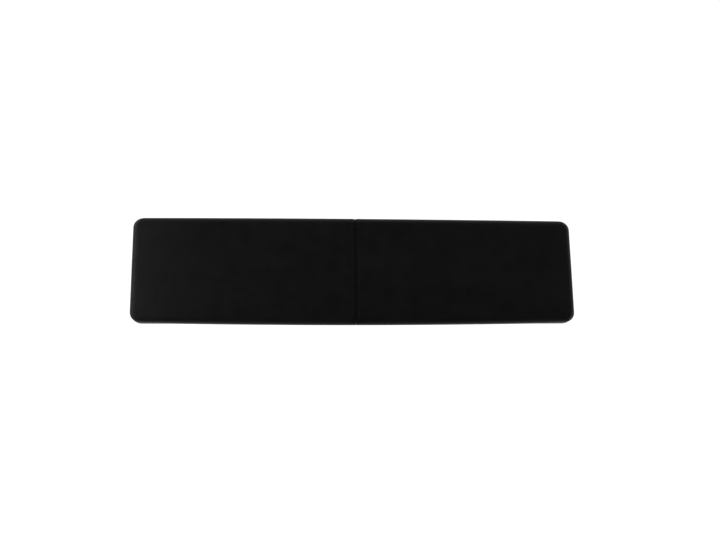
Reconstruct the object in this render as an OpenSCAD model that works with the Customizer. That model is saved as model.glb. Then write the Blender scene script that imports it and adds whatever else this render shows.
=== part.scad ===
// Wall punch pad: a long flat striking pad in black leather that folds in half, face to face.
// It stands as it hangs on the wall: X along the pad, Z up, the face looks along -Y.
// The wall is the plane y = 0, and the fold line is at x = 0.

/* [Pad] */
// overall length of the open pad, mm
pad_length = 840; // [600:10:1200]
// overall height of the pad on the wall, mm
pad_height = 200; // [160:5:300]
// overall thickness from the wall to the face, mm
pad_thickness = 28; // [26:0.5:40]
// radius of the four outer corners seen from the front, mm
corner_radius = 18; // [14:1:40]
// radius of the rounded rim around the face, mm
rim_radius = 6.5; // [4:0.5:7]

/* [Layers] */
// leather of the cover and its turned-over back edge, mm
leather_thickness = 1.5; // [1:0.1:2.5]
// plywood board in each half, mm
board_thickness = 9; // [8:0.5:12]
// firm foam glued to the board, mm
base_foam_thickness = 10; // [6:0.5:18]
// cloth that closes the back, mm
cloth_thickness = 1; // [0.8:0.1:2]
// width of the leather turned over the back of the board, mm
return_width = 22; // [18:1:30]

/* [Fold] */
// width of the fold strip between the two covers, mm
strip_gap = 8; // [6:0.5:14]
// how far the strip reaches under each cover, mm
strip_tuck = 8; // [6:0.5:10]
// thickness of the fold strip, mm
strip_thickness = 1.2; // [1:0.1:2]
// thickness of the woven tape behind the strip, mm
tape_thickness = 0.9; // [0.6:0.1:1.2]
// depth of the soft valley at the cover edges, mm
valley_depth = 2.3; // [1.5:0.1:3]
// gap between the end walls of the two halves, mm
end_gap = 0.6; // [0.6:0.1:2]

/* [Hangers] */
// distance between the two keyhole plates of a half, mm
hanger_spacing = 240; // [160:10:300]
// height of the entry holes above the middle of the pad, mm
hanger_height = 55; // [30:5:65]
// radius of the keyhole entry, mm
keyhole_radius = 5; // [4:0.5:6]
// width of the keyhole slot, mm
keyhole_slot = 5; // [4:0.5:6]
// thickness of the steel keyhole plates, mm
plate_thickness = 2; // [1.5:0.1:2]
// distance between the two screws of a keyhole plate, mm
plate_screw_spacing = 34; // [30:1:40]

/* [Staples] */
// width of a staple, mm
staple_width = 10; // [8:0.5:12]
// flat wire of the staples, across, mm
staple_wire = 0.8; // [0.6:0.1:1]
// how deep the staple legs go, mm
staple_depth = 8; // [6:0.5:9]
// staples along the long edges of a half
staples_long = 7; // [5:1:10]
// staples along the short edges of a half
staples_short = 3; // [2:1:4]

/* [Hidden] */
$fn = 64;
fit_gap = 0.2;
glue_line = 0.1;
fold_gap = 0.3;
slice = 0.02;
overcut = 1;
soft_facets = 32;

half_length = pad_length / 2;
half_height = pad_height / 2;
wall_x = end_gap / 2;

// layers from the wall forward, as y of each back face
cloth_back = 0;
return_back = cloth_back - cloth_thickness;
board_back = return_back - leather_thickness;
board_front = board_back - board_thickness;
base_foam_front = board_front - base_foam_thickness;
face = -pad_thickness;

// valley at the fold, on the outside of the cover
valley_start = strip_gap / 2 + 10;
valley_middle = strip_gap / 2 + 6;
valley_edge = strip_gap / 2;
valley_first_drop = 0.4;
strip_front = face + valley_depth + leather_thickness + fold_gap;
strip_half_width = strip_gap / 2 + strip_tuck;
strip_end_clearance = rim_radius + 0.2;
strip_half_height = half_height - strip_end_clearance;
tape_front = strip_front + strip_thickness;
tape_back = tape_front + tape_thickness;

// hangers
plate_length = plate_screw_spacing + 12;
plate_width = 22;
plate_corner = 4;
plate_back = board_back + plate_thickness;
slot_length = 11;
hanger_middle_x = half_length / 2;
pocket_width = 14;
pocket_depth = 6;
pocket_below = 7;
pocket_above = 18;
window_margin = 3;
window_corner = 3;
plate_lift = slot_length / 2 - 0.5;
screw_shank_radius = 1.5;
screw_head_radius = 3;
screw_head_height = 1.6;
screw_length = 9;
screw_recess_depth = 0.9;
screw_recess_length = 3.4;
screw_recess_width = 0.8;
screw_clearance = 0.05;

// back cloth and staples
cloth_inset = 8;
cloth_corner = 11;
cloth_staple_inset = 11;
cover_staple_inset = 18;
staple_end_margin = 34;
staple_short_margin = 40;
staple_sink = 0.1;

// ---- shared shapes, drawn for the left half ----

// a flat layer: its back face at y = back, growing forward by thick
module layer(back, thick) {
    translate([0, back, 0])
        rotate([90, 0, 0])
            linear_extrude(thick)
                children();
}

// outline of the left half: square at the fold, round at the outer end
module half_outline(inset, inner_x, corner) {
    outer_x = -half_length + inset;
    top = half_height - inset;
    translate([outer_x + corner, -top])
        square([-inner_x - outer_x - corner, 2 * top]);
    translate([outer_x, -top + corner])
        square([corner + slice, 2 * (top - corner)]);
    for (side = [-1, 1])
        translate([outer_x + corner, side * (top - corner)])
            circle(corner);
}

// round post with a rounded front rim, for the outer corners of a soft layer
module corner_post(plan_r, rim_r, front, back) {
    rotate([90, 0, 0])
        rotate_extrude($fn = soft_facets) {
            translate([0, -back])
                square([plan_r, back - front - rim_r]);
            translate([0, -back])
                square([plan_r - rim_r, back - front]);
            translate([plan_r - rim_r, -front - rim_r])
                circle(rim_r, $fn = soft_facets);
        }
}

// thin upright slice of a soft layer at x, with its two front edges rounded
module upright_slice(x, inset, rim_r, front, back) {
    top = half_height - inset;
    for (side = [-1, 1])
        translate([x - slice, front + rim_r, side * (top - rim_r)])
            rotate([0, 90, 0])
                cylinder(r = rim_r, h = slice, $fn = soft_facets);
    translate([x - slice, back - slice, -top])
        cube([slice, slice, 2 * top]);
}

// the left half as one soft body, set in by inset from the outside of the cover
module soft_half(inset, inner_x, back) {
    plan_r = corner_radius - inset;
    rim_r = rim_radius - inset;
    hull() {
        for (side = [-1, 1])
            translate([-half_length + corner_radius, 0, side * (half_height - corner_radius)])
                corner_post(plan_r, rim_r, face + inset, back);
        upright_slice(-valley_start, inset, rim_r, face + inset, back);
        upright_slice(-valley_middle, inset, rim_r, face + inset + valley_first_drop, back);
        upright_slice(-valley_edge, inset, rim_r, face + inset + valley_depth, back);
        upright_slice(-inner_x, inset, rim_r, face + inset + valley_depth + 1.3, back);
    }
}

module keyhole_outline() {
    circle(keyhole_radius);
    translate([-keyhole_slot / 2, 0])
        square([keyhole_slot, slot_length]);
    translate([0, slot_length])
        circle(keyhole_slot / 2);
}

module rounded_rectangle(width, height, corner) {
    square([width - 2 * corner, height], center = true);
    square([width, height - 2 * corner], center = true);
    for (x = [-1, 1])
        for (y = [-1, 1])
            translate([x * (width / 2 - corner), y * (height / 2 - corner)])
                circle(corner);
}

// places a child at each of the two hangers of the left half, at the centre of its entry hole
module at_hangers() {
    for (side = [-1, 1])
        translate([-hanger_middle_x + side * hanger_spacing / 2, hanger_height])
            children();
}

// a screw axis on each side of a hanger, pointing forward from the back of the plate
module at_hanger_screws() {
    for (side = [-1, 1])
        for (screw = [-1, 1])
            translate([
                -hanger_middle_x + side * hanger_spacing / 2 + screw * plate_screw_spacing / 2,
                plate_back,
                hanger_height + plate_lift
            ])
                rotate([90, 0, 0])
                    children();
}

// a flat-wire staple lying along X with its crown's back at y = 0 and its legs going forward
module staple() {
    translate([-staple_width / 2, -staple_wire, -staple_wire / 2])
        cube([staple_width, staple_wire, staple_wire]);
    for (x = [-staple_width / 2, staple_width / 2 - staple_wire])
        translate([x, -staple_depth, -staple_wire / 2])
            cube([staple_wire, staple_depth, staple_wire]);
}

// a row of staples around the left half, their crowns at y = level
module staple_ring(inset, level) {
    x_first = -half_length + inset + staple_end_margin;
    x_last = -wall_x - inset - staple_end_margin;
    z_last = half_height - inset - staple_short_margin;
    for (side = [-1, 1])
        for (i = [0 : staples_long - 1])
            translate([
                x_first + (x_last - x_first) * i / (staples_long - 1),
                level,
                side * (half_height - inset)
            ])
                staple();
    for (x = [-half_length + inset, -wall_x - inset])
        for (i = [0 : staples_short - 1])
            translate([x, level, -z_last + 2 * z_last * i / (staples_short - 1)])
                rotate([0, 90, 0])
                    staple();
}

// ---- pieces of the left half ----

module left_board() {
    color("burlywood")
        difference() {
            layer(board_back, board_thickness)
                half_outline(
                    leather_thickness + fit_gap,
                    wall_x + leather_thickness + fit_gap,
                    corner_radius - leather_thickness - fit_gap
                );
            translate([0, board_back + overcut, 0])
                rotate([90, 0, 0])
                    linear_extrude(pocket_depth + overcut)
                        at_hangers()
                            translate([-pocket_width / 2, -pocket_below])
                                square([pocket_width, pocket_below + pocket_above]);
            at_hanger_screws()
                cylinder(r = screw_shank_radius + screw_clearance, h = screw_length + fit_gap);
        }
}

module left_base_foam() {
    color("dimgray")
        layer(board_front, base_foam_thickness)
            half_outline(
                leather_thickness + fit_gap,
                wall_x + leather_thickness + fit_gap,
                corner_radius - leather_thickness - fit_gap
            );
}

module left_face_foam() {
    inset = leather_thickness + fit_gap;
    color("gray")
        difference() {
            hull() {
                for (side = [-1, 1])
                    translate([-half_length + corner_radius, 0, side * (half_height - corner_radius)])
                        corner_post(
                            corner_radius - inset,
                            rim_radius - inset,
                            face + inset,
                            base_foam_front
                        );
                upright_slice(
                    -valley_start,
                    inset,
                    rim_radius - inset,
                    face + inset,
                    base_foam_front
                );
            }
            // flat where it is glued to the base foam
            translate([-pad_length, base_foam_front - glue_line, -pad_height])
                cube([pad_length, base_foam_thickness, 2 * pad_height]);
        }
}

module left_cover() {
    window_x = -half_length + return_width;
    color("#1a1919")
        difference() {
            soft_half(0, wall_x, return_back);
            soft_half(leather_thickness, wall_x + leather_thickness, board_back);
            // the window in the turned-over back edge
            translate([window_x, board_back - overcut, -half_height + return_width])
                cube([
                    half_length - 2 * return_width - wall_x,
                    leather_thickness + 2 * overcut,
                    2 * (half_height - return_width)
                ]);
            // the cover stops at the valley edge in front of the strip
            translate([-valley_edge, face - overcut, -half_height - overcut])
                cube([
                    strip_gap,
                    tape_back + fold_gap - face + overcut,
                    2 * (half_height + overcut)
                ]);
        }
}

module left_cover_staples() {
    color("silver")
        staple_ring(cover_staple_inset, return_back - staple_sink);
}

module left_back_cloth() {
    color("#2b2b2d")
        layer(cloth_back, cloth_thickness)
            difference() {
                half_outline(cloth_inset, wall_x + cloth_inset, cloth_corner);
                at_hangers()
                    translate([0, plate_lift])
                        rounded_rectangle(
                            plate_length + 2 * window_margin,
                            plate_width + 2 * window_margin,
                            window_corner
                        );
            }
}

module left_cloth_staples() {
    color("#202020")
        staple_ring(cloth_staple_inset, cloth_back - staple_sink);
}

module left_hangers() {
    color("lightgray")
        difference() {
            layer(plate_back, plate_thickness)
                difference() {
                    at_hangers()
                        translate([0, plate_lift])
                            rounded_rectangle(plate_length, plate_width, plate_corner);
                    at_hangers()
                        keyhole_outline();
                }
            at_hanger_screws()
                cylinder(r = screw_shank_radius + screw_clearance, h = 2 * plate_thickness);
            at_hanger_screws()
                cylinder(
                    r1 = screw_head_radius + screw_clearance,
                    r2 = screw_shank_radius + screw_clearance,
                    h = screw_head_height
                );
        }
}

module left_hanger_screws() {
    color("#b8b8b4")
        at_hanger_screws()
            difference() {
                union() {
                    cylinder(r = screw_shank_radius, h = screw_length);
                    cylinder(r1 = screw_head_radius, r2 = screw_shank_radius, h = screw_head_height);
                }
                for (turn = [0, 90])
                    rotate([0, 0, turn])
                        cube(
                            [screw_recess_length, screw_recess_width, 2 * screw_recess_depth],
                            center = true
                        );
            }
}

// ---- the right half is the left half mirrored at the fold ----

module right_board() mirror([1, 0, 0]) left_board();

module right_base_foam() mirror([1, 0, 0]) left_base_foam();

module right_face_foam() mirror([1, 0, 0]) left_face_foam();

module right_cover() mirror([1, 0, 0]) left_cover();

module right_cover_staples() mirror([1, 0, 0]) left_cover_staples();

module right_back_cloth() mirror([1, 0, 0]) left_back_cloth();

module right_cloth_staples() mirror([1, 0, 0]) left_cloth_staples();

module right_hangers() mirror([1, 0, 0]) left_hangers();

module right_hanger_screws() mirror([1, 0, 0]) left_hanger_screws();

// ---- the fold ----

module spine_strip() {
    color("#111111")
        translate([-strip_half_width, strip_front, -strip_half_height])
            cube([2 * strip_half_width, strip_thickness, 2 * strip_half_height]);
}

module spine_tape() {
    color("#303030")
        translate([-strip_half_width, tape_front, -strip_half_height])
            cube([2 * strip_half_width, tape_thickness, 2 * strip_half_height]);
}

left_board();
left_base_foam();
left_face_foam();
left_cover();
left_cover_staples();
left_back_cloth();
left_cloth_staples();
left_hangers();
left_hanger_screws();
right_board();
right_base_foam();
right_face_foam();
right_cover();
right_cover_staples();
right_back_cloth();
right_cloth_staples();
right_hangers();
right_hanger_screws();
spine_strip();
spine_tape();
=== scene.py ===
"""Looks of the wall punch pad: two leather-covered halves joined by a folding seam.

Metres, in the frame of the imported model: X along the pad, Z up, the face looks along -Y.
"""

import math

import bmesh
import bpy
from mathutils import Matrix, Vector, noise


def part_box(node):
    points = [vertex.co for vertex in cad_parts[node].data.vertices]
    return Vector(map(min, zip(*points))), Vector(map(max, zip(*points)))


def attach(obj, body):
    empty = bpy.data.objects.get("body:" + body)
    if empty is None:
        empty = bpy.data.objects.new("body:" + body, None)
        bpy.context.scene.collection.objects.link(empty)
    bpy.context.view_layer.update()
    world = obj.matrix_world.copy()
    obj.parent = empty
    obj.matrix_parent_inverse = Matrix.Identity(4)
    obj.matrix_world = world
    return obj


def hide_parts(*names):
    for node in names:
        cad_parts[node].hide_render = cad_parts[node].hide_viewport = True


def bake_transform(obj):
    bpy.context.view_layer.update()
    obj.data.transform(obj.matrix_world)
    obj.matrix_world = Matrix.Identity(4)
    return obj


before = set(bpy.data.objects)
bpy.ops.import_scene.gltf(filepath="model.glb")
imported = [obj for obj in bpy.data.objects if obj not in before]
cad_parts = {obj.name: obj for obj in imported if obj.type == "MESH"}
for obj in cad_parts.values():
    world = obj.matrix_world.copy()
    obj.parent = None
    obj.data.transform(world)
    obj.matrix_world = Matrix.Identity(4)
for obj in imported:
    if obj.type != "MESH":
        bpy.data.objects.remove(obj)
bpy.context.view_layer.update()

MM = 0.001

# ---- sizes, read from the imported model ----
cover_low, cover_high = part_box("left_cover")
strip_low, strip_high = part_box("spine_strip")
tape_low, tape_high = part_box("spine_tape")
cloth_low, cloth_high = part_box("left_back_cloth")

FACE_Y = cover_low.y
RETURN_Y = cover_high.y
END_X = -cover_low.x
WALL_X = -cover_high.x
TOP_Z = cover_high.z

# the covers' outline and rim
CORNER_R = 18 * MM
RIM_R = 6.5 * MM
RIM_WIDTH = 9.5 * MM
SIDE_Y = FACE_Y + RIM_R
LEATHER = 1.3 * MM
TOP_BULGE = 1.6 * MM
BOTTOM_BULGE = 5.2 * MM
BULGE_FRONT_Y = SIDE_Y + 7 * MM
BULGE_BACK_Y = RETURN_Y - 1 * MM

# the seam: half the gap between the covers, the dip towards it and the strip in it
SEAM_X = 4.0 * MM
VALLEY_START_X = 15.0 * MM
VALLEY_DEPTH = 1.0 * MM
VALLEY_CURVE = 1.35
ROLL_START_X = 6.5 * MM
ROLL_DEPTH = 0.1 * MM
STRIP_LIFT = 1.9 * MM

SIDES = ("left", "right")

# the wave texture's scale that gives one band to the metre
WAVE_PER_M = math.pi / 10
# the board's plies, 1.8 mm thick
PLIES_PER_M = 1000 / 1.8


# ---------------------------------------------------------------- materials

class Nodes:
    """A material's node tree with short ways to add and join nodes."""

    SOCKETS = {
        "rough": "Roughness", "metal": "Metallic", "specular": "Specular IOR Level",
        "sheen": "Sheen Weight", "sheen_rough": "Sheen Roughness",
    }

    def __init__(self, name):
        self.material = bpy.data.materials.new(name)
        self.material.use_nodes = True
        self.tree = self.material.node_tree
        self.tree.nodes.clear()
        self.shader = self.add("ShaderNodeBsdfPrincipled")
        output = self.add("ShaderNodeOutputMaterial")
        self.tree.links.new(self.shader.outputs["BSDF"], output.inputs["Surface"])
        self.place = self.add("ShaderNodeTexCoord").outputs["Object"]

    def add(self, kind, **values):
        node = self.tree.nodes.new(kind)
        for key, value in values.items():
            setattr(node, key, value)
        return node

    def link(self, source, node, socket):
        self.tree.links.new(source, node.inputs[socket])

    def set(self, **values):
        for key, value in values.items():
            self.shader.inputs[self.SOCKETS[key]].default_value = value
        return self

    def stretched(self, scale):
        node = self.add("ShaderNodeMapping")
        node.inputs["Scale"].default_value = scale
        self.link(self.place, node, "Vector")
        return node.outputs["Vector"]

    def noise(self, scale, detail=3.0, rough=0.5, place=None):
        node = self.add("ShaderNodeTexNoise")
        node.inputs["Scale"].default_value = scale
        node.inputs["Detail"].default_value = detail
        node.inputs["Roughness"].default_value = rough
        self.link(place or self.place, node, "Vector")
        return node.outputs["Fac"]

    def cells(self, scale, feature="F1"):
        node = self.add("ShaderNodeTexVoronoi", feature=feature)
        node.inputs["Scale"].default_value = scale
        self.link(self.place, node, "Vector")
        return node.outputs["Distance"]

    def wave(self, scale, direction, distortion=0.0, place=None):
        node = self.add("ShaderNodeTexWave", bands_direction=direction)
        node.inputs["Scale"].default_value = scale
        node.inputs["Distortion"].default_value = distortion
        self.link(place or self.place, node, "Vector")
        return node.outputs["Fac"]

    def math(self, operation, a, b):
        node = self.add("ShaderNodeMath", operation=operation)
        for socket, value in enumerate((a, b)):
            if isinstance(value, (int, float)):
                node.inputs[socket].default_value = value
            else:
                self.link(value, node, socket)
        return node.outputs[0]

    def spread(self, value, low, high, to_low, to_high):
        node = self.add("ShaderNodeMapRange")
        for key, number in zip(
            ("From Min", "From Max", "To Min", "To Max"), (low, high, to_low, to_high)
        ):
            node.inputs[key].default_value = number
        self.link(value, node, "Value")
        return node.outputs["Result"]

    def colours(self, value, *stops):
        node = self.add("ShaderNodeValToRGB")
        ramp = node.color_ramp
        while len(ramp.elements) < len(stops):
            ramp.elements.new(1.0)
        for element, (position, colour) in zip(ramp.elements, stops):
            element.position = position
            element.color = (*colour, 1.0)
        self.link(value, node, "Fac")
        return node.outputs["Color"]

    def relief(self, *layers):
        """Bump layers, each (height, strength, distance)."""
        normal = None
        for height, strength, distance in layers:
            node = self.add("ShaderNodeBump")
            node.inputs["Strength"].default_value = strength
            node.inputs["Distance"].default_value = distance
            self.link(height, node, "Height")
            if normal is not None:
                self.link(normal, node, "Normal")
            normal = node.outputs["Normal"]
        self.link(normal, self.shader, "Normal")

    def into(self, source, socket):
        self.link(source, self.shader, socket)


def black_leather(name, dark, light, rough_low, rough_high):
    """Full-grain black leather: fine pebbles, pores, soft clouding and small wear."""
    m = Nodes(name).set(specular=0.4)
    clouds = m.noise(14.0, 4.0, 0.6)
    m.into(m.colours(clouds, (0.3, dark), (0.75, light)), "Base Color")
    pebbles = m.cells(820.0)
    creases = m.cells(310.0, "DISTANCE_TO_EDGE")
    pores = m.noise(2600.0, 2.0)
    grain = m.math("ADD", m.math("MULTIPLY", pebbles, -1.0), m.math("MULTIPLY", pores, 0.35))
    lines = m.math("MINIMUM", m.math("MULTIPLY", creases, 4.0), 0.5)
    wave = m.noise(55.0, 3.0, 0.55)
    m.relief((wave, 0.25, 0.0012), (lines, 0.35, 0.00022), (grain, 0.5, 0.00018))
    rough = m.math("ADD", m.noise(32.0, 3.0), m.math("MULTIPLY", m.noise(900.0), 0.5))
    m.into(m.spread(rough, 0.45, 1.05, rough_low, rough_high), "Roughness")
    return m.material


def woven_cloth(name, dark, light, threads_per_m, fuzz):
    """Plain weave: warp and weft threads that pass over and under each other."""
    m = Nodes(name).set(specular=0.2, sheen=fuzz, sheen_rough=0.5)
    pitch = threads_per_m * WAVE_PER_M
    warp = m.wave(pitch, "X")
    weft = m.wave(pitch, "Z")
    weave = m.math("MAXIMUM", m.math("MULTIPLY", warp, weft), m.math(
        "MULTIPLY", m.math("SUBTRACT", 1.0, warp), m.math("SUBTRACT", 1.0, weft)))
    slub = m.noise(180.0, 4.0, 0.6, m.stretched((1.0, 1.0, 0.15)))
    tone = m.math("ADD", m.math("MULTIPLY", weave, 0.6), m.math("MULTIPLY", slub, 0.5))
    m.into(m.colours(tone, (0.2, dark), (0.9, light)), "Base Color")
    m.relief((slub, 0.2, 0.0002), (weave, 0.8, 0.00025))
    m.into(m.spread(slub, 0.3, 0.7, 0.75, 0.95), "Roughness")
    return m.material


def plywood(name):
    """Birch plywood: pale figured veneer, and the glue lines through the edge as relief."""
    m = Nodes(name).set(specular=0.3)
    figure = m.noise(22.0, 5.0, 0.6, m.stretched((1.0, 4.0, 9.0)))
    rings = m.wave(30.0, "Z", 7.0, m.stretched((0.25, 1.0, 1.0)))
    tone = m.math("ADD", m.math("MULTIPLY", figure, 0.7), m.math("MULTIPLY", rings, 0.3))
    veneer = m.colours(
        tone, (0.25, (0.33, 0.2, 0.1)), (0.5, (0.56, 0.39, 0.22)), (0.8, (0.68, 0.52, 0.33))
    )
    m.into(veneer, "Base Color")
    plies = m.wave(PLIES_PER_M * WAVE_PER_M, "Y")
    fibres = m.noise(900.0, 3.0, 0.6, m.stretched((0.1, 1.0, 1.0)))
    m.relief((fibres, 0.3, 0.0002), (plies, 0.2, 0.00015))
    m.into(m.spread(fibres, 0.2, 0.8, 0.55, 0.8), "Roughness")
    return m.material


def foam(name, dark, light, cells_per_m):
    """Cut foam: open cells with thin walls, slightly mottled."""
    m = Nodes(name).set(specular=0.15, sheen=0.2)
    cell = m.cells(cells_per_m)
    mottle = m.noise(45.0, 4.0, 0.6)
    tone = m.math("ADD", m.math("MULTIPLY", cell, 0.5), m.math("MULTIPLY", mottle, 0.6))
    m.into(m.colours(tone, (0.25, dark), (0.85, light)), "Base Color")
    m.relief((mottle, 0.3, 0.0006), (cell, 0.7, 0.0005))
    m.into(m.spread(mottle, 0.3, 0.7, 0.85, 0.97), "Roughness")
    return m.material


def rolled_steel(name, tint, rough_low, rough_high, along="X"):
    """Zinc-plated sheet steel: drawn lines, faint clouding and handling marks."""
    m = Nodes(name).set(metal=1.0)
    stretch = {"X": (0.04, 1.0, 1.0), "Z": (1.0, 1.0, 0.04)}[along]
    lines = m.noise(2500.0, 3.0, 0.6, m.stretched(stretch))
    clouds = m.noise(120.0, 5.0, 0.7)
    low = tuple(0.8 * c for c in tint)
    m.into(m.colours(clouds, (0.3, low), (0.75, tint)), "Base Color")
    marks = m.math("ADD", m.math("MULTIPLY", lines, 0.6), m.math("MULTIPLY", clouds, 0.6))
    m.into(m.spread(marks, 0.35, 0.85, rough_low, rough_high), "Roughness")
    m.relief((clouds, 0.1, 0.0002), (lines, 0.15, 0.00008))
    return m.material


def coated_wire(name, dark, light):
    """Black enamelled wire with worn edges."""
    m = Nodes(name).set(specular=0.5)
    wear = m.noise(700.0, 4.0, 0.65)
    m.into(m.colours(wear, (0.45, dark), (0.8, light)), "Base Color")
    m.into(m.spread(wear, 0.3, 0.8, 0.3, 0.6), "Roughness")
    m.relief((wear, 0.2, 0.00008))
    return m.material


def twisted_thread(name):
    """Bonded polyester thread: three plies twisted round each other."""
    m = Nodes(name).set(specular=0.35, sheen=0.3, sheen_rough=0.4)
    plies = m.wave(1500.0, "DIAGONAL", 0.5)
    tone = m.colours(plies, (0.1, (0.005, 0.005, 0.005)), (0.9, (0.013, 0.012, 0.0125)))
    m.into(tone, "Base Color")
    m.relief((plies, 0.7, 0.00012))
    fluff = m.noise(3000.0, 2.0)
    m.into(m.spread(fluff, 0.3, 0.7, 0.45, 0.7), "Roughness")
    return m.material


LEATHER_BLACK = black_leather(
    "black_cover_leather", (0.0064, 0.0053, 0.0057), (0.0112, 0.0094, 0.0100), 0.42, 0.6
)
# the fold strip: the cover leather made darker, as painted shade for the groove along the fold
STRIP_SHADED_BLACK = black_leather(
    "black_strip_leather_painted_shade", (0.0046, 0.0039, 0.0042), (0.0074, 0.0062, 0.0067), 0.45, 0.62
)
BACK_CLOTH = woven_cloth(
    "black_back_cloth", (0.006, 0.006, 0.0065), (0.03, 0.03, 0.032), 900, 0.35
)
TAPE_CLOTH = woven_cloth(
    "black_woven_tape", (0.006, 0.006, 0.006), (0.024, 0.024, 0.026), 650, 0.2
)
PLYWOOD = plywood("birch_plywood")
FIRM_FOAM = foam("firm_grey_foam", (0.02, 0.02, 0.021), (0.075, 0.075, 0.08), 1100)
SOFT_FOAM = foam("soft_grey_foam", (0.06, 0.06, 0.062), (0.17, 0.17, 0.175), 800)
PLATE_STEEL = rolled_steel("zinc_plate_steel", (0.62, 0.63, 0.64), 0.24, 0.42)
SCREW_STEEL = rolled_steel("zinc_screw_steel", (0.55, 0.54, 0.5), 0.22, 0.4, "Z")
STAPLE_STEEL = rolled_steel("galvanised_staple_wire", (0.6, 0.6, 0.58), 0.3, 0.5, "Z")
BLACK_STAPLE = coated_wire("black_staple_wire", (0.008, 0.008, 0.008), (0.06, 0.058, 0.055))
THREAD = twisted_thread("black_bonded_thread")


# ---------------------------------------------------------------- mesh helpers

def smoothstep(value, low, high):
    t = min(max((value - low) / (high - low), 0.0), 1.0)
    return t * t * (3 - 2 * t)


def bulge(co):
    """How far the soft long edges stand out at co: most at the fold, and more below than above."""
    most = TOP_BULGE if co.z > 0 else -BOTTOM_BULGE
    along = 1 - (co.x / END_X) ** 2
    height = (abs(co.z) / TOP_Z) ** 3
    return most * along * height * (1 - smoothstep(co.y, BULGE_FRONT_Y, BULGE_BACK_Y))


def make_piece(bm, name, material):
    """The finished bmesh as a piece of the pad."""
    mesh = bpy.data.meshes.new(name)
    bm.to_mesh(mesh)
    bm.free()
    mesh.materials.append(material)
    piece = bpy.data.objects.new(name, mesh)
    bpy.context.scene.collection.objects.link(piece)
    shade_smooth(piece)
    return piece


def shade_smooth(piece):
    for face in piece.data.polygons:
        face.use_smooth = True


def bake_modifiers(piece):
    """Applies the piece's modifiers to its mesh."""
    graph = bpy.context.evaluated_depsgraph_get()
    graph.update()
    made = bpy.data.meshes.new_from_object(piece.evaluated_get(graph))
    old = piece.data
    piece.modifiers.clear()
    piece.data = made
    bpy.data.meshes.remove(old)
    shade_smooth(piece)


def thicken(piece, thickness, even=False):
    """Gives a sheet its thickness, inwards from the face it shows."""
    wall = piece.modifiers.new("wall", "SOLIDIFY")
    wall.thickness = thickness
    wall.offset = -1.0
    wall.use_rim = True
    wall.use_even_offset = even
    wall.thickness_clamp = 1.0


def round_off(piece):
    soft = piece.modifiers.new("soft", "SUBSURF")
    soft.levels = 1
    soft.render_levels = 1


def extrude_ring(bm, ring):
    """Extrudes a row of edges, and gives the new vertices and the new row."""
    made = bmesh.ops.extrude_edge_only(bm, edges=ring)["geom"]
    verts = [g for g in made if isinstance(g, bmesh.types.BMVert)]
    new = set(verts)
    edges = [
        g for g in made
        if isinstance(g, bmesh.types.BMEdge) and g.verts[0] in new and g.verts[1] in new
    ]
    return verts, edges


def face_outwards(bm, wanted):
    """Makes the sheet's faces agree, with the first one's normal on the wanted side along Y."""
    bmesh.ops.recalc_face_normals(bm, faces=bm.faces)
    bm.faces.ensure_lookup_table()
    if bm.faces[0].normal.y * wanted < 0:
        bmesh.ops.reverse_faces(bm, faces=bm.faces)


def square_to_corner(u, v):
    """Maps the unit square onto the quarter disc, so a grid keeps its rows round a corner."""
    return u * math.sqrt(1 - v * v / 2), v * math.sqrt(1 - u * u / 2)


def round_plan_corners(verts, centres, radius):
    """Pulls the corner squares of a flat XZ grid onto quarter circles."""
    for v in verts:
        for cx, cz, sx, sz in centres:
            u, w = (v.co.x - cx) * sx / radius, (v.co.z - cz) * sz / radius
            if u > 1e-6 and w > 1e-6:
                a, b = square_to_corner(min(u, 1.0), min(w, 1.0))
                v.co.x, v.co.z = cx + sx * a * radius, cz + sz * b * radius


# ---------------------------------------------------------------- leather covers

GRID_X = 80
SEAM_COLUMNS = 10
SEAM_CROWDING = 1.5
GRID_Z = 52
RIM_STEPS = 6
SIDE_STEPS = 4
RETURN_STEPS = 4
RETURN_WIDTH = 15 * MM
BACK_R = 2 * MM

# the foam's push: where the sheet starts from, what holds it, and how much push is kept
START_SHRINK = 1.1 * MM
SHRINK_END_X = 15 * MM
HOLD_DEPTH = 6 * MM
HOLD_SEAM = (5 * MM, 1 * MM)
SWELL_FRAMES = 20
PRESSURE = 4
CROWN_CAP = 1.2 * MM
SMOOTH_PASSES = 60
SIDEWAYS = 0.1

# waves in the face, each (waves per metre, height), and the puckers along the seam
FACE_WAVES = ((16, 0.2 * MM), (45, 0.08 * MM))
WAVE_FADE = 8 * MM
RIGHT_WAVE_SHIFT = 3.1
PUCKER_PITCH = 8.6 * MM
PUCKER_HEIGHT = 0.28 * MM
PUCKER_REACH = 14 * MM
PUCKER_DRIFT = (60, 2.5)
END_GATHER = 0.9
END_GATHER_Z = (60 * MM, 88 * MM)
CORNER_CREASE = 0.8


def column_x(i):
    """X of grid column i of the left half: even columns, then finer ones up to the seam."""
    outer = -END_X + RIM_WIDTH
    inner = -VALLEY_START_X - 1 * MM
    if i <= GRID_X:
        return outer + (inner - outer) * i / GRID_X
    if i <= GRID_X + SEAM_COLUMNS:
        t = (i - GRID_X) / SEAM_COLUMNS
        return inner + (-SEAM_X - inner) * (1 - (1 - t) ** SEAM_CROWDING)
    return -WALL_X


def valley(x):
    """How far the cover dips towards the seam at x."""
    t = min(max((x + VALLEY_START_X) / (VALLEY_START_X - SEAM_X), 0.0), 1.0)
    roll = min(max((x + ROLL_START_X) / (ROLL_START_X - SEAM_X), 0.0), 1.0)
    return VALLEY_DEPTH * t ** VALLEY_CURVE + ROLL_DEPTH * roll ** 2


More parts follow.
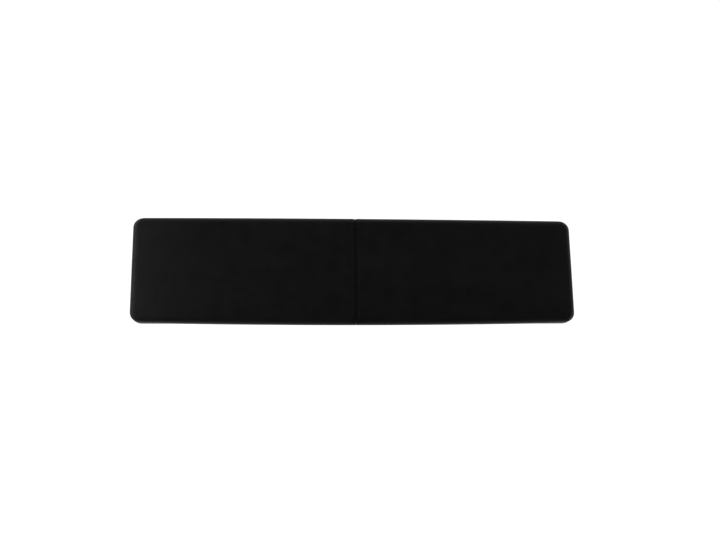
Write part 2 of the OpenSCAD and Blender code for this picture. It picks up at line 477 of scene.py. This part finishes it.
def ways_out(co, centres):
    """Which way the leather goes from a point on the face's edge, at the rim and at the back."""
    for cx, cz, sx, sz in centres:
        d = Vector((co.x - cx, 0, co.z - cz))
        if d.x * sx > 1e-7 and d.z * sz > 1e-7:
            d.normalize()
            return d, d
    upright = Vector((0, 0, math.copysign(1, co.z)))
    on_long_edge = abs(co.z) > TOP_Z - RIM_WIDTH - 1e-6
    if co.x > -WALL_X - 1e-6:
        if on_long_edge:
            return upright, Vector((1, 0, upright.z))
        return Vector(), Vector((1, 0, 0))
    if on_long_edge:
        return upright, upright
    return Vector((-1, 0, 0)), Vector((-1, 0, 0))


def wrap_levels():
    """The rings from the face's edge to the turned-over back, each (way, how far in, y)."""
    levels = []
    for k in range(1, RIM_STEPS + 1):
        a = math.pi / 2 * k / RIM_STEPS
        levels.append(("rim", RIM_WIDTH * (1 - math.sin(a)), FACE_Y + RIM_R * (1 - math.cos(a))))
    depth = RETURN_Y - BACK_R - SIDE_Y
    for k in range(1, SIDE_STEPS + 1):
        levels.append(("back", 0.0, SIDE_Y + depth * k / SIDE_STEPS))
    for a in (math.pi / 4, math.pi / 2):
        y = RETURN_Y - BACK_R * (1 - math.sin(a))
        levels.append(("back", BACK_R * (1 - math.cos(a)), y))
    for k in range(1, RETURN_STEPS + 1):
        inset = BACK_R + (RETURN_WIDTH - BACK_R) * k / RETURN_STEPS
        levels.append(("back", inset, RETURN_Y))
    return levels


def cover_sheet():
    """The left cover's leather as one open sheet: face, rim, sides, end wall and back edge."""
    bm = bmesh.new()
    columns = GRID_X + SEAM_COLUMNS + 1
    bmesh.ops.create_grid(bm, x_segments=columns, y_segments=GRID_Z, size=0.5)
    for v in bm.verts:
        i = round((v.co.x + 0.5) * columns)
        v.co = Vector((column_x(i), FACE_Y, 2 * v.co.y * (TOP_Z - RIM_WIDTH)))
    centres = [(-END_X + CORNER_R, s * (TOP_Z - CORNER_R), -1, s) for s in (-1, 1)]
    round_plan_corners(bm.verts, centres, CORNER_R - RIM_WIDTH)

    ring = [e for e in bm.edges if e.is_boundary]
    ways = {v: ways_out(v.co, centres) for e in ring for v in e.verts}
    homes = {v: v.co + way[0] * RIM_WIDTH for v, way in ways.items()}
    for part, inset, y in wrap_levels():
        verts, ring = extrude_ring(bm, ring)
        sources = {
            v: next(e.other_vert(v) for e in v.link_edges if e.other_vert(v) in ways)
            for v in verts
        }
        for v, source in sources.items():
            ways[v], homes[v] = ways[source], homes[source]
            v.co = homes[v] - ways[v][0 if part == "rim" else 1] * inset
            v.co.y = y

    # the slot for the fold strip: no leather in front of the side walls past the seam
    middles = {f: f.calc_center_median() for f in bm.faces}
    slot_faces = [
        f for f, at in middles.items()
        if at.x > -SEAM_X + 0.1 * MM and at.y < SIDE_Y - 0.01 * MM
    ]
    bmesh.ops.delete(bm, geom=slot_faces, context="FACES")
    for v in bm.verts:
        if v.co.y < SIDE_Y:
            share = (SIDE_Y - v.co.y) / RIM_R
            shrink = START_SHRINK * (1 - smoothstep(v.co.x, -SHRINK_END_X, -SEAM_X))
            v.co.y += (valley(v.co.x) + shrink) * share

    bmesh.ops.recalc_face_normals(bm, faces=bm.faces)
    middle = Vector((-END_X / 2, FACE_Y, 0))
    face = min(bm.faces, key=lambda f: (f.calc_center_median() - middle).length)
    if face.normal.y > 0:
        bmesh.ops.reverse_faces(bm, faces=bm.faces)
    return bm


def add_cloth(piece):
    """Leather under the foam's push: held at the sides and at the seam, without gravity."""
    held = piece.vertex_groups.new(name="held")
    for v in piece.data.vertices:
        edge = smoothstep(v.co.y, SIDE_Y, SIDE_Y + HOLD_DEPTH)
        seam = smoothstep(v.co.x, -SEAM_X - HOLD_SEAM[0], -SEAM_X - HOLD_SEAM[1])
        weight = max(edge, seam)
        if weight > 0:
            held.add([v.index], weight, "REPLACE")
    cloth = piece.modifiers.new("swell", "CLOTH")
    settings = cloth.settings
    settings.quality = 6
    settings.mass = 0.35
    settings.tension_stiffness = 60
    settings.compression_stiffness = 60
    settings.shear_stiffness = 25
    settings.bending_stiffness = 4
    settings.air_damping = 6
    settings.use_pressure = True
    settings.uniform_pressure_force = PRESSURE
    settings.vertex_group_mass = "held"
    settings.pin_stiffness = 1.0
    settings.effector_weights.gravity = 0
    cloth.collision_settings.use_collision = False
    cloth.point_cache.frame_start = 1
    cloth.point_cache.frame_end = SWELL_FRAMES


def swell(piece):
    """Lets the foam push the leather out a little, and gives how far the furthest point went."""
    mesh = piece.data
    start = [v.co.copy() for v in mesh.vertices]
    add_cloth(piece)
    scene = bpy.context.scene
    for number in range(1, SWELL_FRAMES + 1):
        scene.frame_set(number)
    graph = bpy.context.evaluated_depsgraph_get()
    moved = piece.evaluated_get(graph).data
    steps = [v.co - a for a, v in zip(start, moved.vertices)]
    piece.modifiers.clear()
    piece.vertex_groups.clear()
    scene.frame_set(1)
    travel = max(step.length for step in steps)

    # even out the small folds, as leather drawn tight over foam has none
    beside = [[] for _ in steps]
    for edge in mesh.edges:
        a, b = edge.vertices
        beside[a].append(b)
        beside[b].append(a)
    for _ in range(SMOOTH_PASSES):
        steps = [
            (step + sum((steps[i] for i in near), Vector())) / (len(near) + 1)
            for step, near in zip(steps, beside)
        ]
    for v, a, step in zip(mesh.vertices, start, steps):
        free = 1 - smoothstep(a.y, SIDE_Y, SIDE_Y + HOLD_DEPTH)
        reach = step.length
        if reach > 1e-9:
            step = step * (CROWN_CAP * (1 - math.exp(-reach / CROWN_CAP)) / reach)
        step.x *= SIDEWAYS
        step.z *= SIDEWAYS
        v.co = a + step * free
    return travel


def wave_face(mesh, shift):
    """Foam never lies dead flat: broad soft waves, and small puckers along the seam."""
    offset = Vector((shift, 0, 0))
    for v in mesh.vertices:
        co = v.co
        lift = 1 - smoothstep(co.y, SIDE_Y - RIM_R / 2, SIDE_Y + WAVE_FADE)
        broad = sum(noise.noise(co * rate + offset) * height for rate, height in FACE_WAVES)
        near = 1 - smoothstep(-co.x, SEAM_X, SEAM_X + PUCKER_REACH)
        drift = noise.noise(Vector((0, 0, co.z * PUCKER_DRIFT[0])) + offset) * PUCKER_DRIFT[1]
        pucker = math.cos(co.z * math.tau / PUCKER_PITCH + drift) * PUCKER_HEIGHT
        gather = 1 + END_GATHER * smoothstep(abs(co.z), *END_GATHER_Z)
        co.y += lift * (broad * (1 - near) + pucker * near ** 2 * gather)
        co.z += bulge(co)


def crease_wall_corners(bm):
    """Keeps the end wall's two corners at the fold sharp when the cover is rounded off."""
    crease = bm.edges.layers.float.new("crease_edge")
    for e in bm.edges:
        a, b = e.verts[0].co, e.verts[1].co
        on_wall = abs(a.x + WALL_X) < 1e-5 and abs(b.x + WALL_X) < 1e-5
        if on_wall and min(abs(a.z), abs(b.z)) > TOP_Z - 0.1 * MM:
            e[crease] = CORNER_CREASE


def leather_cover(side):
    """One half's padded leather cover."""
    name = f"{side}_cover_leather"
    bm = cover_sheet()
    crease_wall_corners(bm)
    piece = make_piece(bm, name, LEATHER_BLACK)
    travel = swell(piece)
    print(f"{name}: the leather moved {travel / MM:.2f} mm")
    mesh = piece.data
    wave_face(mesh, RIGHT_WAVE_SHIFT if side == "right" else 0)
    if side == "right":
        for v in mesh.vertices:
            v.co.x = -v.co.x
        mesh.flip_normals()
    thicken(piece, LEATHER)
    round_off(piece)
    bake_modifiers(piece)
    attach(piece, f"{side}_half")
    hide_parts(f"{side}_cover")


# ---------------------------------------------------------------- fold strip and tape

FOLD_COLUMNS = 12
FOLD_ROWS = 64
STRIP_END = 2.7 * MM
TAPE_END = 3.2 * MM
# the strip's ends turn over the rim, each bend (below the top, in front of the side)
END_BENDS = ((1.7 * MM, 0.8 * MM), (1.0 * MM, 0.45 * MM), (0.6 * MM, 0.2 * MM))
END_BEND_X = SEAM_X - 0.1 * MM


def rim_drop(z):
    """How far the rim has fallen back from the face at height z."""
    t = min(max((abs(z) - TOP_Z + RIM_WIDTH) / RIM_WIDTH, 0.0), 0.99)
    return RIM_R * (1 - math.sqrt(1 - t * t))


def turn_ends_over(bm, reach):
    """Extends the strip's two ends between the covers, over the rim to the sides."""
    for end in (-1, 1):
        ring = [
            e for e in bm.edges
            if e.is_boundary and all(
                abs(v.co.z - end * reach) < 1e-6 and abs(v.co.x) < SEAM_X + 0.05 * MM
                for v in e.verts
            )
        ]
        for below, ahead in END_BENDS:
            verts, ring = extrude_ring(bm, ring)
            for v in verts:
                v.co.x = min(max(v.co.x, -END_BEND_X), END_BEND_X)
                v.co.z = end * (TOP_Z - below)
                v.co.y = SIDE_Y - ahead


def fold_sheet(low, high, over_rim):
    """A sheet across the fold, flat or following the rim and turned over it at both ends."""
    bm = bmesh.new()
    reach = TOP_Z - (STRIP_END if over_rim else TAPE_END)
    bmesh.ops.create_grid(bm, x_segments=FOLD_COLUMNS, y_segments=FOLD_ROWS, size=0.5)
    for v in bm.verts:
        z = reach * math.sin(v.co.y * math.pi)
        y = low.y + (rim_drop(z) if over_rim else 0)
        v.co = Vector((2 * v.co.x * high.x, y, z))
    if over_rim:
        turn_ends_over(bm, reach)
    for v in bm.verts:
        v.co.z += bulge(v.co)
    face_outwards(bm, -1)
    return bm


def fold_piece(name, low, high, material, node, over_rim):
    """The leather strip or the tape across the fold, attached to neither half."""
    piece = make_piece(fold_sheet(low, high, over_rim), name, material)
    thicken(piece, high.y - low.y)
    round_off(piece)
    bake_modifiers(piece)
    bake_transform(piece)
    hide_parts(node)


# ---------------------------------------------------------------- stitches

STITCH_SIZE = (0.75 * MM, 0.55 * MM, 3.1 * MM)
STITCH_BEND = 0.18 * MM
STITCH_PITCH = 3.9 * MM
STITCH_X = 6.6 * MM
STITCH_REACH = 91 * MM
STITCH_LIFT = 0.13 * MM
STITCH_TILTS = (0.063, 0.09)


def seam_stitches(side):
    """The row of thread that holds one cover to the fold strip."""
    bm = bmesh.new()
    count = int(2 * STITCH_REACH / STITCH_PITCH)
    x = -STITCH_X
    y = FACE_Y + valley(x) - STITCH_LIFT
    slope = (valley(x + 0.5 * MM) - valley(x - 0.5 * MM)) / MM
    lean = Matrix.Rotation(math.atan(slope), 3, "Z")
    for i in range(count):
        z = (i - (count - 1) / 2) * STITCH_PITCH
        made = bmesh.ops.create_uvsphere(bm, u_segments=8, v_segments=6, radius=0.5)["verts"]
        bmesh.ops.scale(bm, verts=made, vec=STITCH_SIZE)
        for v in made:
            v.co.y += STITCH_BEND * (2 * v.co.z / STITCH_SIZE[2]) ** 2
        tilt = Matrix.Rotation(STITCH_TILTS[i % 2], 3, "Y") @ lean
        bmesh.ops.rotate(bm, verts=made, cent=(0, 0, 0), matrix=tilt)
        bmesh.ops.translate(bm, verts=made, vec=(x, y, z))
    if side == "right":
        bmesh.ops.scale(bm, verts=bm.verts, vec=(-1, 1, 1))
        bmesh.ops.recalc_face_normals(bm, faces=bm.faces)
    piece = make_piece(bm, f"{side}_seam_stitches", THREAD)
    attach(piece, f"{side}_half")


# ---------------------------------------------------------------- back cloth

CLOTH_GRID = (96, 46)
CLOTH = 0.45 * MM
CLOTH_CORNER_R = 11 * MM
CLOTH_Y = -0.42 * MM
WINDOW_GAP = 3 * MM
PLATE_WIDTH = 46 * MM
HEM = 7 * MM
HEM_STEP = (1.2 * MM, 0.8 * MM)
HEM_HEIGHT = 0.22 * MM
HEM_STIFFNESS = 0.7
# slack in the cloth, each (waves per metre, where in the noise, height)
CLOTH_WAVES = ((22, 1.7, 0.1 * MM), (90, 4.2, 0.05 * MM))


def cut_windows(bm, windows, bottom, top):
    """Cuts a window in the cloth for each (left, right) pair, from bottom to top."""
    cuts = [((x, 0, 0), (1, 0, 0)) for pair in windows for x in pair]
    cuts += [((0, 0, z), (0, 0, 1)) for z in (bottom, top)]
    for place, normal in cuts:
        bmesh.ops.bisect_plane(
            bm, geom=bm.verts[:] + bm.edges[:] + bm.faces[:], dist=1e-6,
            plane_co=place, plane_no=normal,
        )
    holes = []
    for f in bm.faces:
        middle = f.calc_center_median()
        if bottom < middle.z < top and any(a < middle.x < b for a, b in windows):
            holes.append(f)
    bmesh.ops.delete(bm, geom=holes, context="FACES")
    loose = [v for v in bm.verts if not v.link_faces]
    bmesh.ops.delete(bm, geom=loose, context="VERTS")


def to_cloth_edge(co, windows, bottom, top):
    """How far co is from the nearest edge of the cloth or of a window."""
    edge = min(co.x - cloth_low.x, cloth_high.x - co.x, cloth_high.z - abs(co.z))
    for a, b in windows:
        dx = max(a - co.x, co.x - b, 0)
        dz = max(bottom - co.z, co.z - top, 0)
        edge = min(edge, math.hypot(dx, dz))
    return edge


def back_cloth(side):
    """The cloth over the back, with hemmed edges and a window round each keyhole plate."""
    bm = bmesh.new()
    low, high = cloth_low, cloth_high
    size_x, size_z = high.x - low.x, high.z - low.z
    bmesh.ops.create_grid(bm, x_segments=CLOTH_GRID[0], y_segments=CLOTH_GRID[1], size=0.5)
    for v in bm.verts:
        v.co = Vector(((low.x + high.x) / 2 + v.co.x * size_x, 0, v.co.y * size_z))
    corner = CLOTH_CORNER_R
    centres = [(low.x + corner, s * (high.z - corner), -1, s) for s in (-1, 1)]
    round_plan_corners(bm.verts, centres, corner)

    plate_low, plate_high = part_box("left_hangers")
    window_width = PLATE_WIDTH + 2 * WINDOW_GAP
    first, last = plate_low.x - WINDOW_GAP, plate_high.x + WINDOW_GAP
    windows = [(first, first + window_width), (last - window_width, last)]
    bottom, top = plate_low.z - WINDOW_GAP, plate_high.z + WINDOW_GAP
    cut_windows(bm, windows, bottom, top)

    for v in bm.verts:
        edge = to_cloth_edge(v.co, windows, bottom, top)
        fold = 1 - smoothstep(edge, HEM - HEM_STEP[0], HEM + HEM_STEP[1])
        sag = sum(
            noise.noise(Vector((v.co.x * rate, place, v.co.z * rate))) * height
            for rate, place, height in CLOTH_WAVES
        )
        v.co.y = CLOTH_Y + fold * HEM_HEIGHT + sag * (1 - fold * HEM_STIFFNESS)
    face_outwards(bm, 1)
    if side == "right":
        bmesh.ops.scale(bm, verts=bm.verts, vec=(-1, 1, 1))
        bmesh.ops.reverse_faces(bm, faces=bm.faces)

    piece = make_piece(bm, f"{side}_back_cloth_sheet", BACK_CLOTH)
    thicken(piece, CLOTH, even=True)
    bake_modifiers(piece)
    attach(piece, f"{side}_half")
    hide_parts(f"{side}_back_cloth")


# ---------------------------------------------------------------- build

for side in SIDES:
    leather_cover(side)
    seam_stitches(side)
    back_cloth(side)

lifted = Vector((0, STRIP_LIFT, 0))
fold_piece(
    "fold_strip_leather", strip_low - lifted, strip_high - lifted,
    STRIP_SHADED_BLACK, "spine_strip", over_rim=True,
)
fold_piece(
    "fold_tape_woven", tape_low, tape_high,
    TAPE_CLOTH, "spine_tape", over_rim=False,
)

for node, material in {
    "board": PLYWOOD, "base_foam": FIRM_FOAM, "face_foam": SOFT_FOAM,
    "cover_staples": STAPLE_STEEL, "cloth_staples": BLACK_STAPLE,
    "hangers": PLATE_STEEL, "hanger_screws": SCREW_STEEL,
}.items():
    for side in SIDES:
        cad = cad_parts[f"{side}_{node}"]
        cad.data.materials.clear()
        cad.data.materials.append(material)


# ---------------------------------------------------------------- stage, light and camera

FLOOR_Z = -0.9
FLOOR_SIZE = 25
FLOOR_GLOW = 0.55
SEEN_WHITE = 1.1


def studio_floor():
    """A plain pale floor far below the pad, with a soft glow of its own."""
    bm = bmesh.new()
    bmesh.ops.create_grid(bm, x_segments=1, y_segments=1, size=FLOOR_SIZE)
    bmesh.ops.translate(bm, verts=bm.verts, vec=(0, 0, FLOOR_Z))
    m = Nodes("pale_studio_floor").set(specular=0.2, rough=0.9)
    pale = m.colours(m.noise(1.5, 2.0), (0.3, (0.93, 0.93, 0.93)), (0.7, (0.95, 0.95, 0.95)))
    m.into(pale, "Base Color")
    m.shader.inputs["Emission Color"].default_value = (1, 1, 1, 1)
    m.shader.inputs["Emission Strength"].default_value = FLOOR_GLOW
    mesh = bpy.data.meshes.new("studio_floor")
    bm.to_mesh(mesh)
    bm.free()
    mesh.materials.append(m.material)
    floor = bpy.data.objects.new("studio_floor", mesh)
    bpy.context.scene.collection.objects.link(floor)
    # as with a dark flag under the pad: the floor is seen white, but doesn't light the pad
    floor.visible_diffuse = False
    floor.visible_glossy = False


def studio_light():
    """White all round as seen; as light, dim in front of the pad and strong behind and above."""
    world = bpy.data.worlds.new("white_studio")
    bpy.context.scene.world = world
    world.use_nodes = True
    tree = world.node_tree
    tree.nodes.clear()
    output = tree.nodes.new("ShaderNodeOutputWorld")
    seen = tree.nodes.new("ShaderNodeBackground")
    seen.inputs["Color"].default_value = (1, 1, 1, 1)
    seen.inputs["Strength"].default_value = SEEN_WHITE
    lit = tree.nodes.new("ShaderNodeBackground")
    place = tree.nodes.new("ShaderNodeTexCoord")
    parts = tree.nodes.new("ShaderNodeSeparateXYZ")
    tree.links.new(place.outputs["Generated"], parts.inputs[0])

    def ramp(axis, *numbers):
        """Light that changes along an axis: from, to, strength at from, strength at to."""
        node = tree.nodes.new("ShaderNodeMapRange")
        node.interpolation_type = "SMOOTHSTEP"
        for key, number in zip(("From Min", "From Max", "To Min", "To Max"), numbers):
            node.inputs[key].default_value = number
        tree.links.new(parts.outputs[axis], node.inputs["Value"])
        return node.outputs["Result"]

    both = tree.nodes.new("ShaderNodeMath")
    both.operation = "MULTIPLY"
    tree.links.new(ramp("Y", -0.96, 0.28, 0.03, 1.0), both.inputs[0])
    tree.links.new(ramp("Z", -0.4, 0.5, 1.05, 1.4), both.inputs[1])
    tree.links.new(both.outputs[0], lit.inputs["Strength"])
    which = tree.nodes.new("ShaderNodeLightPath")
    mix = tree.nodes.new("ShaderNodeMixShader")
    tree.links.new(which.outputs["Is Camera Ray"], mix.inputs["Fac"])
    tree.links.new(lit.outputs[0], mix.inputs[1])
    tree.links.new(seen.outputs[0], mix.inputs[2])
    tree.links.new(mix.outputs[0], output.inputs["Surface"])


def softbox(name, place, aim, size, watts):
    """A rectangular area light at place, turned to aim, that the camera doesn't see."""
    data = bpy.data.lights.new(name, "AREA")
    data.shape = "RECTANGLE"
    data.size, data.size_y = size
    data.energy = watts
    light = bpy.data.objects.new(name, data)
    light.location = place
    light.visible_camera = False
    light.rotation_mode = "QUATERNION"
    light.rotation_quaternion = (Vector(aim) - Vector(place)).to_track_quat("-Z", "Y")
    bpy.context.scene.collection.objects.link(light)


# how the camera sees the pad: turns in degrees, and the face's middle to its right, up and ahead
PITCH, YAW, ROLL = 12.3, -4.4, 0.75
PAD_SEEN_AT = Vector((-0.0080, 0.0171, 1.7075))


def camera():
    """Looks slightly up at the pad from a little left of its middle."""
    pitch, yaw, roll = (math.radians(a) for a in (PITCH, YAW, ROLL))
    turn = (
        Matrix((
            (math.cos(roll), -math.sin(roll), 0),
            (math.sin(roll), math.cos(roll), 0),
            (0, 0, 1),
        ))
        @ Matrix((
            (1, 0, 0),
            (0, math.cos(pitch), -math.sin(pitch)),
            (0, math.sin(pitch), math.cos(pitch)),
        ))
        @ Matrix((
            (math.cos(yaw), 0, math.sin(yaw)),
            (0, 1, 0),
            (-math.sin(yaw), 0, math.cos(yaw)),
        ))
    )
    eye = -(turn.transposed() @ PAD_SEEN_AT)

    def upright(v):
        """From right, up, ahead to the pad's X, Y, Z."""
        return Vector((v[0], v[2], v[1]))

    right, up, ahead = (upright(turn[i]) for i in range(3))
    data = bpy.data.cameras.new("camera")
    data.sensor_width = 36
    data.lens = 45
    data.clip_start, data.clip_end = 0.05, 60
    cam = bpy.data.objects.new("camera", data)
    spin = Matrix((right, up, -ahead)).transposed()
    place = upright(eye) + Vector((0, FACE_Y, 0))
    cam.matrix_world = Matrix.Translation(place) @ spin.to_4x4()
    bpy.context.scene.collection.objects.link(cam)
    bpy.context.scene.camera = cam


studio_floor()
studio_light()
softbox("left_softbox", (-0.8, -0.5, 0.08), (-0.35, 0, 0), (0.25, 0.35), 0.67)
camera()
bpy.context.scene.view_settings.view_transform = "Standard"
